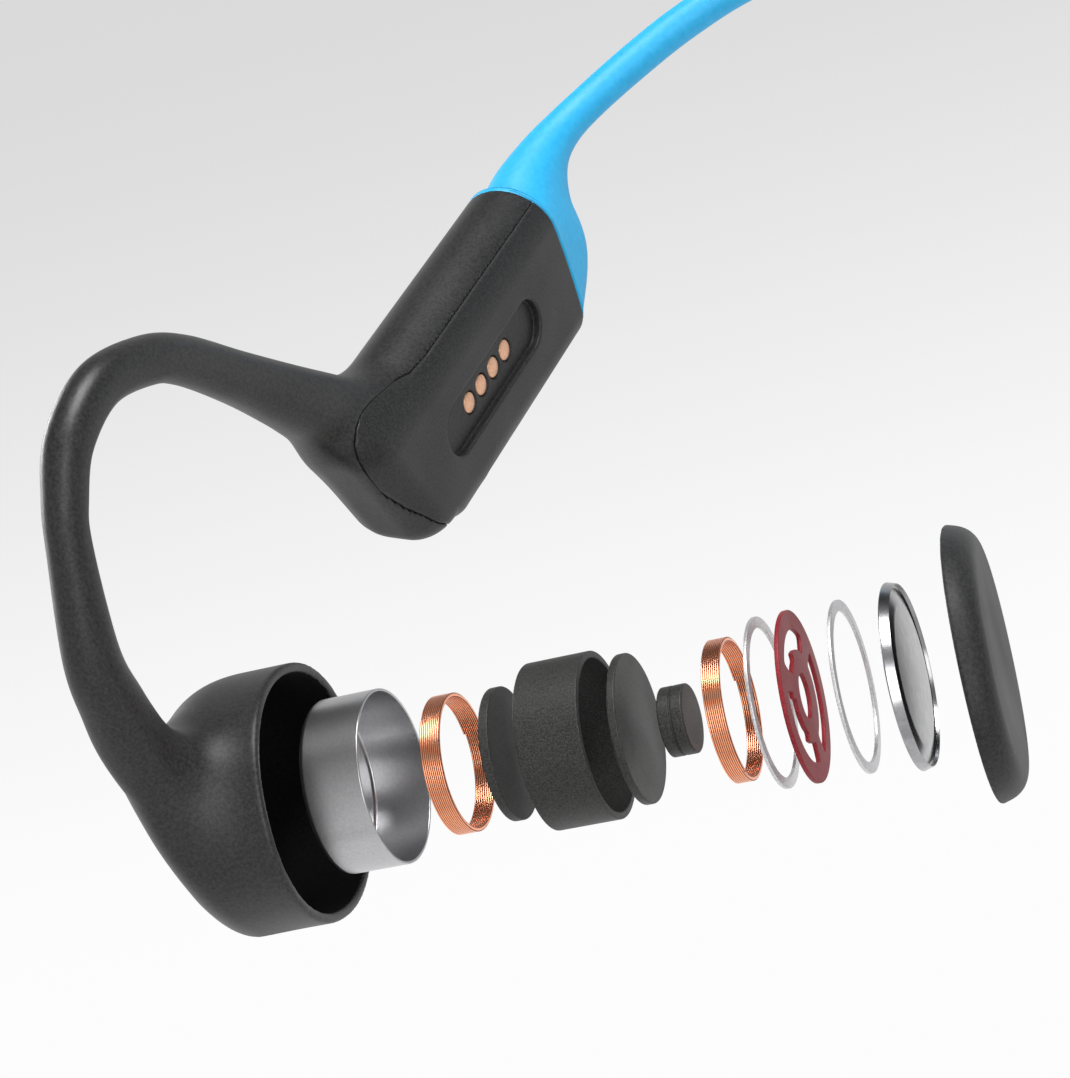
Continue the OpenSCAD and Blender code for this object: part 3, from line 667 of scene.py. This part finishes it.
def revolve(profile, sides=128):
    """Vertices and faces of a closed profile turned about its local Z, drawn outside-left."""
    verts, faces, rings = [], [], []
    for r, z in profile:
        if abs(r) < 1e-9:
            rings.append([len(verts)] * sides)
            verts.append((0, 0, z))
        else:
            start = len(verts)
            for j in range(sides):
                g = 2 * math.pi * j / sides
                verts.append((r * math.cos(g), r * math.sin(g), z))
            rings.append(list(range(start, start + sides)))
    area = sum(profile[i - 1][0] * profile[i][1] - profile[i][0] * profile[i - 1][1] for i in range(len(profile)))
    for i in range(len(profile)):
        lo, hi = rings[i - 1], rings[i]
        if lo[0] == lo[1] and hi[0] == hi[1]:
            continue
        for j in range(sides):
            k = (j + 1) % sides
            f = [lo[j], lo[k], hi[k], hi[j]]
            if area < 0:
                f.reverse()
            faces.append(list(dict.fromkeys(f)))
    return np.array(verts), faces


def along_driver(verts, back):
    """Local lathe coordinates to the side frame, the piece's back face at the given depth."""
    t = verts[:, 2] + back
    u, v = verts[:, 1], -verts[:, 0]
    co, so = math.cos(OVAL_LEAN), math.sin(OVAL_LEAN)
    y = u * co - v * so
    z = u * so + v * co
    c, s = math.cos(DRIVER_LEAN), math.sin(DRIVER_LEAN)
    return np.column_stack([t * c - y * s, t * s + y * c, z])


AXIS = np.array([math.cos(DRIVER_LEAN), math.sin(DRIVER_LEAN), 0])


def back_face(node, length, right):
    """Depth of a piece's back face on the driver axis, from its CAD node."""
    lo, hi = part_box(node)
    mid = np.array((lo + hi) / 2) / MM
    if not right:
        mid = mid * (-1, 1, 1)
    return float((mid - SIDE) @ AXIS) - length / 2


def driver_piece(kind, right, verts, faces, length, material, body, back=None, smooth=True):
    side = "right" if right else "left"
    node = side + "_" + kind
    if back is None:
        back = back_face(node, length, right)
    pts = side_points(along_driver(verts, back), right)
    if not right:
        faces = [list(f)[::-1] for f in faces]
    obj = new_object(node + "_skin", pts, faces, material, smooth)
    # the groove faces between the turns get the dark brown material: painted shade between the turns
    if material is MATS["copper"]:
        obj.data.materials.append(MATS["enamel"])
        for face in obj.data.polygons:
            if face.index % COIL_SECTION in (3, 4, 6, 7) and len(face.vertices) == 4:
                face.material_index = 1
    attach(obj, body)
    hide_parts(node)
    return obj


def can_shape():
    w, r, h, f = 0.22, 7.0, 5.07, 0.45
    return revolve(rounded([(0, 0), (r, 0, f), (r, h, 0.08), (r - w, h, 0.08), (r - w, w, f - w), (0, w)], 5))


def tube_shape(r, wall, h, edge):
    return revolve(rounded([(r, 0, edge), (r, h, edge), (r - wall, h, edge), (r - wall, 0, edge)], 4))


def disc_shape(r, h, edge):
    return revolve(rounded([(0, 0), (r, 0, edge), (r, h, edge), (0, h)], 4))


def core_shape():
    r, h, g = 2.7, 2.0, 0.12
    return revolve(rounded([(0, 0), (r, 0, 0.1), (r, h / 2 - g / 2, 0.08), (r - g, h / 2 - g / 2), (r - g, h / 2 + g / 2),
                            (r, h / 2 + g / 2, 0.08), (r, h, 0.16), (0, h)], 3), 96)


def dish_shape():
    return revolve(rounded([(0, 0), (7.1, 0, 0.1), (6.86, 0.8, 0.04), (6.8, 0.8, 0.02), (6.74, 0.52, 0.03),
                            (6.6, 0.42, 0.06), (5.4, 0.74, 1.5), (0, 0.84)], 8))


COIL_SECTION = 12


def coil_shape(length, turns):
    """One flat wire wound edge to edge; its two ends stop part of the way round."""
    r_out, wall = 5.5, 0.36
    pitch = length / (turns + 1)
    per_turn = 96
    groove, lane = 0.07, pitch * 0.7
    verts, faces = [], []
    section = [(r_out - 0.012, 0), (r_out, lane * 0.12), (r_out, lane * 0.88), (r_out - 0.012, lane),
               (r_out - groove, lane + 0.004), (r_out - groove, pitch * 0.99),
               (r_out - wall + groove, pitch * 0.99), (r_out - wall + groove, lane + 0.004),
               (r_out - wall + 0.012, lane), (r_out - wall, lane * 0.88), (r_out - wall, lane * 0.12), (r_out - wall + 0.012, 0)]
    m = len(section)
    count = int(turns * per_turn)
    for i in range(count + 1):
        g = 2 * math.pi * i / per_turn + 0.35
        lift = pitch * i / per_turn + pitch * 0.5
        for r, z in section:
            verts.append((r * math.cos(g), r * math.sin(g), z + lift - pitch / 2))
    for i in range(count):
        for j in range(m):
            k = (j + 1) % m
            faces.append([i * m + j, (i + 1) * m + j, (i + 1) * m + k, i * m + k])
    faces.append([j for j in range(m)])
    faces.append([count * m + j for j in range(m - 1, -1, -1)])
    return np.array(verts), faces


def window(x, y, inner, outer, start, end):
    """Opening of the spring plate: a ring sector with soft corners, angles in degrees."""
    rad = np.hypot(x, y)
    s0, c0 = math.sin(math.radians(start)), math.cos(math.radians(start))
    s1, c1 = math.sin(math.radians(end)), math.cos(math.radians(end))
    sides = np.maximum(s0 * x - c0 * y, c1 * y - s1 * x)
    return smooth_max(np.maximum(inner - rad, rad - outer), sides, 0.35)


def planar_sdf(x, y, r):
    """Spring plate outline: rim and hub joined by three bridges, with an oval hole."""
    hole = np.hypot((x - 0.12) / 0.88, y) - 0.265 * r
    cut = smooth_min(window(x, y, 0.54 * r, 0.775 * r, 57, 144), window(x, y, 0.455 * r, 0.66 * r, 108, 142), 0.1)
    cut = np.minimum(cut, window(x, y, 0.54 * r, 0.765 * r, 168, 274))
    cut = smooth_min(cut, window(x, y, 0.445 * r, 0.66 * r, 176, 243), 0.1)
    cut = np.minimum(cut, window(x, y, 0.545 * r, 0.805 * r, -63, 33))
    return np.maximum(np.hypot(x, y) - r, -np.minimum(cut, hole))


def spring_shape():
    r, t = 6.56, 0.35
    step = 0.07

    def sdf(p):
        return smooth_max(planar_sdf(p[:, 0], p[:, 1], r), np.abs(p[:, 2] - t / 2) - t / 2, 0.06)

    lo = np.array([-r - 0.3, -r - 0.3, -0.15])
    hi = np.array([r + 0.3, r + 0.3, t + 0.15])
    field = sample(sdf, lo, hi, step, 12)
    verts, quads = surface(field, lo, step)
    return settle(sdf, verts, 1, 0.01), quads


def pad_sdf(p):
    """Ear pad in the driver frame: tapered wall, soft front edge, its back in the rim plane."""
    t, u, v = p[:, 2], p[:, 1], -p[:, 0]
    tilt_t = t * math.cos(RIM_TILT) - v * math.sin(RIM_TILT)
    shrink = 0.30 * np.clip(tilt_t, 0, PAD_T)
    side = oval(u, v * math.cos(RIM_TILT), CUP_SHORT - 0.05, CUP_LONG - 0.05) + shrink
    front = tilt_t - PAD_T + 0.004 * (u * u + v * v) * 0.35
    d = smooth_max(side, front, 1.5)
    return smooth_max(d, -tilt_t, 0.3)


def pad_shape():
    step = 0.2
    lo = np.array([-14.5, -12.5, -1.8])
    hi = np.array([14.5, 12.5, 4.2])
    field = sample(pad_sdf, lo, hi, step, 12)
    verts, quads = surface(field, lo, step)
    return settle(pad_sdf, verts, 1), quads


def build_driver(right):
    side = "right" if right else "left"

    def home(kind):
        return side + "_" + kind + "_body" if right else "left_half"

    driver_piece("driver_can", right, *can_shape(), 5.07, MATS["steel"], home("driver_can"))
    driver_piece("rear_coil", right, *coil_shape(1.74, 10), 1.74, MATS["copper"], home("rear_coil"))
    driver_piece("rear_plate", right, *disc_shape(5.25, 0.79, 0.1), 0.79, MATS["magnet"], home("rear_plate"))
    driver_piece("magnet_sleeve", right, *tube_shape(6.55, 0.55, 5.16, 0.1), 5.16, MATS["magnet"], home("magnet_sleeve"))
    driver_piece("front_plate", right, *disc_shape(5.84, 0.66, 0.12), 0.66, MATS["magnet"], home("front_plate"))
    driver_piece("centre_magnets", right, *core_shape(), 2.0, MATS["magnet"], home("centre_magnets"))
    driver_piece("front_coil", right, *coil_shape(1.49, 8.6), 1.49, MATS["copper"], home("front_coil"))
    driver_piece("inner_ring", right, *tube_shape(6.55, 0.85, 0.26, 0.05), 0.26, MATS["spacer"], home("inner_ring"))
    driver_piece("spring_plate", right, *spring_shape(), 0.35, MATS["spring"], home("spring_plate"))
    driver_piece("outer_ring", right, *tube_shape(6.55, 0.85, 0.26, 0.05), 0.26, MATS["spacer"], home("outer_ring"))
    plate_body = home("vibration_plate") if right else "left_vibration_body"
    driver_piece("vibration_plate", right, *dish_shape(), 0.8, MATS["chrome"], plate_body)
    pad_slide = next(j for j in frame["joints"] if j["name"] == "right_pad_slide")
    back = 0.02 - (pad_slide["range_m"][0] / MM if right else 0)
    driver_piece("ear_pad", right, *pad_shape(), PAD_T, MATS["pad"], home("ear_pad"), back)


# ---------------------------------------------------------------- pods, hooks, cups and neckband
def build_side(right, kept):
    side = "right" if right else "left"
    body = "headset" if right else "left_half"
    coarse = 1
    shell = implicit_piece(side + "_body_skin", shell_sdf(right), (-13.5, -21.5, -26), (6.5, 64, 41), 0.2 * coarse, right,
                           MATS["skin"], trimmed, kept[0], cup_shade_zone)
    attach(shell, body)
    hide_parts(side + "_pod_shell", side + "_ear_hook", side + "_driver_cup")
    cover = implicit_piece(side + "_cover_skin", cover_sdf(right), (-2.6, 22, -19.5), (1.2, 64.5, 13), 0.13 * coarse, right,
                           MATS["casing"], trimmed, kept[1])
    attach(cover, body)
    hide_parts(side + "_pod_cover")
    seal = implicit_piece(side + "_gasket_skin", gasket_sdf, (-3.2, 22, -19.5), (-1.2, 64.5, 13), 0.16 * coarse, right,
                          MATS["seal"])
    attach(seal, body)
    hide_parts(side + "_pod_gasket")


def section_point(g):
    """Point of the pod's rear section in direction g, as shares of its half-thickness and half-height."""
    half_t, half_b = POD_T / 2, (POD_TOP - POD_BOTTOM) / 2
    dx, db = math.cos(g) * half_t, math.sin(g) * half_b
    lo, hi = 0.3, 1.6
    for _ in range(40):
        mid = (lo + hi) / 2
        d = pod_section(np.array([-half_t + dx * mid]), np.array([(POD_TOP + POD_BOTTOM) / 2 + db * mid]))[0]
        lo, hi = (mid, hi) if d < 0 else (lo, mid)
    return math.cos(g) * lo, math.sin(g) * lo


def build_neckband():
    steps = 6
    rows = spline(BAND_KNOTS, steps)
    side_line = rows[:, :3]
    full = np.vstack([side_line, (side_line * (-1, 1, 1) + (2 * RIM_HALF, 0, 0))[-2::-1]])
    thick = np.concatenate([rows[:, 3], rows[-2::-1, 3]])
    high = np.concatenate([rows[:, 4], rows[-2::-1, 4]])
    share = np.clip(np.concatenate([rows[:, 5], rows[-2::-1, 5]]), 0, 1)
    tangent = unit(np.gradient(full, axis=0))
    start = np.array([0, math.cos(POD_SLOPE), -math.sin(POD_SLOPE)])
    for i in range(steps):
        w = 1 - i / steps
        w = w * w * (3 - 2 * w)
        tangent[i] = unit(start * w + tangent[i] * (1 - w))
        tangent[-1 - i] = tangent[i] * (1, -1, -1)
    up = np.array([0.0, 0.0, 1.0])
    sides = 64
    base = [section_point(2 * math.pi * j / sides) for j in range(sides)]
    verts, faces = [], []
    n = len(full)
    for i in range(n):
        high_dir = unit(up - tangent[i] * (tangent[i] @ up))
        wide_dir = np.cross(tangent[i], high_dir)
        for j in range(sides):
            g = 2 * math.pi * j / sides
            px, pb = base[j]
            w = share[i]
            cx = (1 - w) * px + w * math.cos(g)
            cb = (1 - w) * pb + w * math.sin(g)
            p = full[i] + wide_dir * cx * thick[i] + high_dir * cb * high[i]
            first = min(i, n - 1 - i)
            if first < steps * 1.5:
                fade = (1 - first / (steps * 1.5)) ** 2
                b = (POD_TOP + POD_BOTTOM) / 2 + cb * high[i]
                shift = (seam_a(b) + 0.05 - 60.62) * fade
                p = p + (tangent[i] if i < n / 2 else -tangent[i]) * shift
            verts.append(p)
    for i in range(n - 1):
        for j in range(sides):
            k = (j + 1) % sides
            faces.append([i * sides + j, i * sides + k, (i + 1) * sides + k, (i + 1) * sides + j])
    for ring in (0, n - 1):
        centre = len(verts)
        at = np.array(verts[ring * sides:(ring + 1) * sides])
        verts.append(at.mean(0) + (tangent[ring] if ring == 0 else -tangent[ring]) * 0.5)
        for j in range(sides):
            k = (j + 1) % sides
            f = [centre, ring * sides + k, ring * sides + j]
            faces.append(f if ring == 0 else f[::-1])
    obj = new_object("neckband_skin", side_points(np.array(verts), True), faces, MATS["blue"])
    fix_normals(obj)
    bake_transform(obj)
    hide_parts("right_neckband", "left_neckband")


def fix_normals(obj):
    import bmesh
    bm = bmesh.new()
    bm.from_mesh(obj.data)
    bmesh.ops.recalc_face_normals(bm, faces=bm.faces)
    bm.to_mesh(obj.data)
    bm.free()


def pod_to_side(x, a, b):
    c, s = math.cos(POD_SLOPE), math.sin(POD_SLOPE)
    return np.column_stack([x, a * c + b * s, b * c - a * s])


def build_contacts():
    """Four spring contacts with softly domed faces, their collars behind the wall."""
    r = CONTACT_R
    profile = rounded([(0, 0.05), (r - 0.3, 0.04), (r, -0.1, 0.12), (r, -1.9), (r + 0.25, -1.9, 0.05), (r + 0.25, -2.4, 0.05),
                       (0, -2.4)], 4)
    lathe, ring_faces = revolve(profile, 48)
    verts, faces = [], []
    for i in range(4):
        a = CONTACT_A + (i - 1.5) * CONTACT_PITCH
        start = len(verts)
        x = lathe[:, 2] - RECESS_D
        verts.extend(pod_to_side(x, a + lathe[:, 0], RECESS_B + lathe[:, 1]))
        faces.extend([[start + v for v in f] for f in ring_faces])
    obj = new_object("charge_contact_pins", side_points(np.array(verts), True), faces, MATS["contact"])
    fix_normals(obj)
    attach(obj, "headset")
    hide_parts("charge_contacts")


def build_volume_buttons():
    wall_b = POD_BOTTOM + POD_WALL
    for name, ca in (("volume_down", BUTTON_A[0]), ("volume_up", BUTTON_A[1])):
        def key(p, ca=ca):
            x, a, b = pod_local(p)
            plan = stadium(a, x, ca, BUTTON_X, BUTTON_L, BUTTON_W)
            crown = POD_BOTTOM - 0.7 + 0.02 * (a - ca) ** 2 - b
            cap = smooth_max(smooth_max(plan, crown, 0.5), b - wall_b - 0.4, 0.1)
            lip_plan = stadium(a, x, ca, BUTTON_X, BUTTON_L + 0.6, BUTTON_W + 0.6)
            lip = smooth_max(lip_plan, np.abs(b - wall_b - 0.52) - 0.2, 0.1)
            return np.minimum(cap, lip)

        mid = pod_to_side(np.array([BUTTON_X]), np.array([ca]), np.array([2.0]))[0]
        obj = implicit_piece(name + "_key", key, mid - (2.4, 5, 3.4), mid + (2.4, 5, 3.4), 0.1, True,
                             MATS["casing"])
        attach(obj, name + "_body")
        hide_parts(name + "_button")


def build_function_button():
    proud, floor = 0.5, CUP_FLOOR
    profile = rounded([(0, 0.14), (2.4, 0.1), (3.1, 0.0), (3.6, 0.0, 0.25), (3.6, floor + proud + 0.02),
                       (4.2, floor + proud + 0.02, 0.08), (4.2, floor + proud + 0.32, 0.08), (0, floor + proud + 0.32)], 4)
    verts, faces = revolve(profile, 96)
    pts = side_points(along_driver(verts, -CUP_DEPTH - proud), False)
    obj = new_object("function_key", pts, [list(f)[::-1] for f in faces], MATS["casing"])
    fix_normals(obj)
    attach(obj, "function_button_body")
    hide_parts("function_button")


fields = ({}, {})
build_side(True, fields)
build_side(False, fields)
build_neckband()
build_contacts()
build_volume_buttons()
build_function_button()
build_driver(True)
build_driver(False)

# ---------------------------------------------------------------- finishes on the CAD nodes left showing
CAD_LOOK = {
    "circuit_board": "board", "contact_carrier": "carrier", "dock_magnets": "nickel",
    "button_board": "board", "hook_wire": "titanium", "hook_cable": "sheath", "damper_ring": "seal", "battery": "foil",
    "function_switch": "steel", "band_wire": "titanium", "band_cable": "sheath",
}
for name, obj in frame["nodes"].items():
    kind = name.replace("right_", "").replace("left_", "")
    if kind in CAD_LOOK:
        obj.data.materials.clear()
        obj.data.materials.append(MATS[CAD_LOOK[kind]])


# ---------------------------------------------------------------- floor, light and camera
# The floor glows by itself, darker at the upper left of the frame and brighter towards the lower right: painted light,
# not lit by the lamps.
def painted_light_floor_material():
    m = bpy.data.materials.new("floor_paper")
    m.use_nodes = True
    nodes, links = m.node_tree.nodes, m.node_tree.links
    nodes.clear()
    out = nodes.new("ShaderNodeOutputMaterial")
    glow = nodes.new("ShaderNodeEmission")
    window = nodes.new("ShaderNodeTexCoord").outputs["Window"]
    split = nodes.new("ShaderNodeSeparateXYZ")
    links.new(window, split.inputs["Vector"])
    mix = nodes.new("ShaderNodeMath")
    mix.operation = "MULTIPLY_ADD"
    links.new(split.outputs["X"], mix.inputs[0])
    mix.inputs[1].default_value = 0.25
    flip = nodes.new("ShaderNodeMath")
    flip.operation = "SUBTRACT"
    flip.inputs[0].default_value = 1.0
    links.new(split.outputs["Y"], flip.inputs[1])
    links.new(flip.outputs["Value"], mix.inputs[2])
    r = nodes.new("ShaderNodeValToRGB")
    r.color_ramp.interpolation = "EASE"
    r.color_ramp.elements[0].position = 0.0
    r.color_ramp.elements[0].color = (0.70, 0.70, 0.70, 1)
    r.color_ramp.elements[1].position = 0.95
    r.color_ramp.elements[1].color = (0.98, 0.98, 0.98, 1)
    links.new(mix.outputs["Value"], r.inputs["Fac"])
    links.new(r.outputs["Color"], glow.inputs["Color"])
    links.new(glow.outputs["Emission"], out.inputs["Surface"])
    return m


FLOOR_DROP = 0.25
floor = new_object("studio_floor", [(-4, -4, -FLOOR_DROP), (4, -4, -FLOOR_DROP), (4, 4, -FLOOR_DROP), (-4, 4, -FLOOR_DROP)],
                   [(0, 1, 2, 3)], painted_light_floor_material(), False)


def area_light(name, at, target, size, power, color=(1, 1, 1)):
    data = bpy.data.lights.new(name, "AREA")
    data.shape = "RECTANGLE"
    data.size, data.size_y = size
    data.energy = power
    data.color = color
    obj = bpy.data.objects.new(name, data)
    obj.location = at
    obj.rotation_euler = (Vector(target) - Vector(at)).to_track_quat("-Z", "Y").to_euler()
    bpy.context.scene.collection.objects.link(obj)
    return obj


focus = tuple(float(v) for v in (SIDE + (20, 15, 0)) * MM)
area_light("key", (focus[0] + 0.05, focus[1] + 0.38, 0.60), focus, (0.45, 0.3), 7)
area_light("fill", (focus[0] + 0.45, focus[1] - 0.35, 0.55), focus, (0.5, 0.5), 3)
area_light("rim", (focus[0] - 0.6, focus[1] + 0.1, -0.02), focus, (0.4, 0.12), 3)


def studio_world():
    """Dark behind and above on the left, brighter in front and below."""
    world = bpy.data.worlds.new("studio")
    world.use_nodes = True
    nodes, links = world.node_tree.nodes, world.node_tree.links
    facing = nodes.new("ShaderNodeVectorMath")
    facing.operation = "DOT_PRODUCT"
    links.new(nodes.new("ShaderNodeTexCoord").outputs["Generated"], facing.inputs[0])
    facing.inputs[1].default_value = (0.25, -0.85, -0.46)
    shade = nodes.new("ShaderNodeMapRange")
    shade.inputs["From Min"].default_value = -0.95
    shade.inputs["From Max"].default_value = 0.9
    shade.inputs["To Min"].default_value = 0.02
    shade.inputs["To Max"].default_value = 0.92
    links.new(facing.outputs["Value"], shade.inputs["Value"])
    links.new(shade.outputs["Result"], nodes["Background"].inputs["Strength"])
    nodes["Background"].inputs["Color"].default_value = (1, 1, 1, 1)
    return world


bpy.context.scene.world = studio_world()

CAMERA_AT = np.array([109.995, -75.539, 157.224])
RIGHT = Vector((0.88421577, 0.27848501, -0.37497808))
UP = Vector((-0.03000732, 0.83502663, 0.54939066))
BACK = Vector((0.46611375, -0.4745278, 0.7467003))
cam_data = bpy.data.cameras.new("camera")
cam_data.lens = 85.93
cam_data.sensor_width = 36
cam_data.sensor_fit = "AUTO"
cam_data.clip_start = 0.01
camera = bpy.data.objects.new("camera", cam_data)
camera.matrix_world = Matrix((
    (RIGHT.x, UP.x, BACK.x, (CAMERA_AT[0] + SIDE[0]) * MM),
    (RIGHT.y, UP.y, BACK.y, (CAMERA_AT[1] + SIDE[1]) * MM),
    (RIGHT.z, UP.z, BACK.z, (CAMERA_AT[2] + SIDE[2]) * MM),
    (0, 0, 0, 1)))
bpy.context.scene.collection.objects.link(camera)
bpy.context.scene.camera = camera
bpy.context.scene.view_settings.view_transform = "Standard"
bpy.context.scene.view_settings.look = "None"
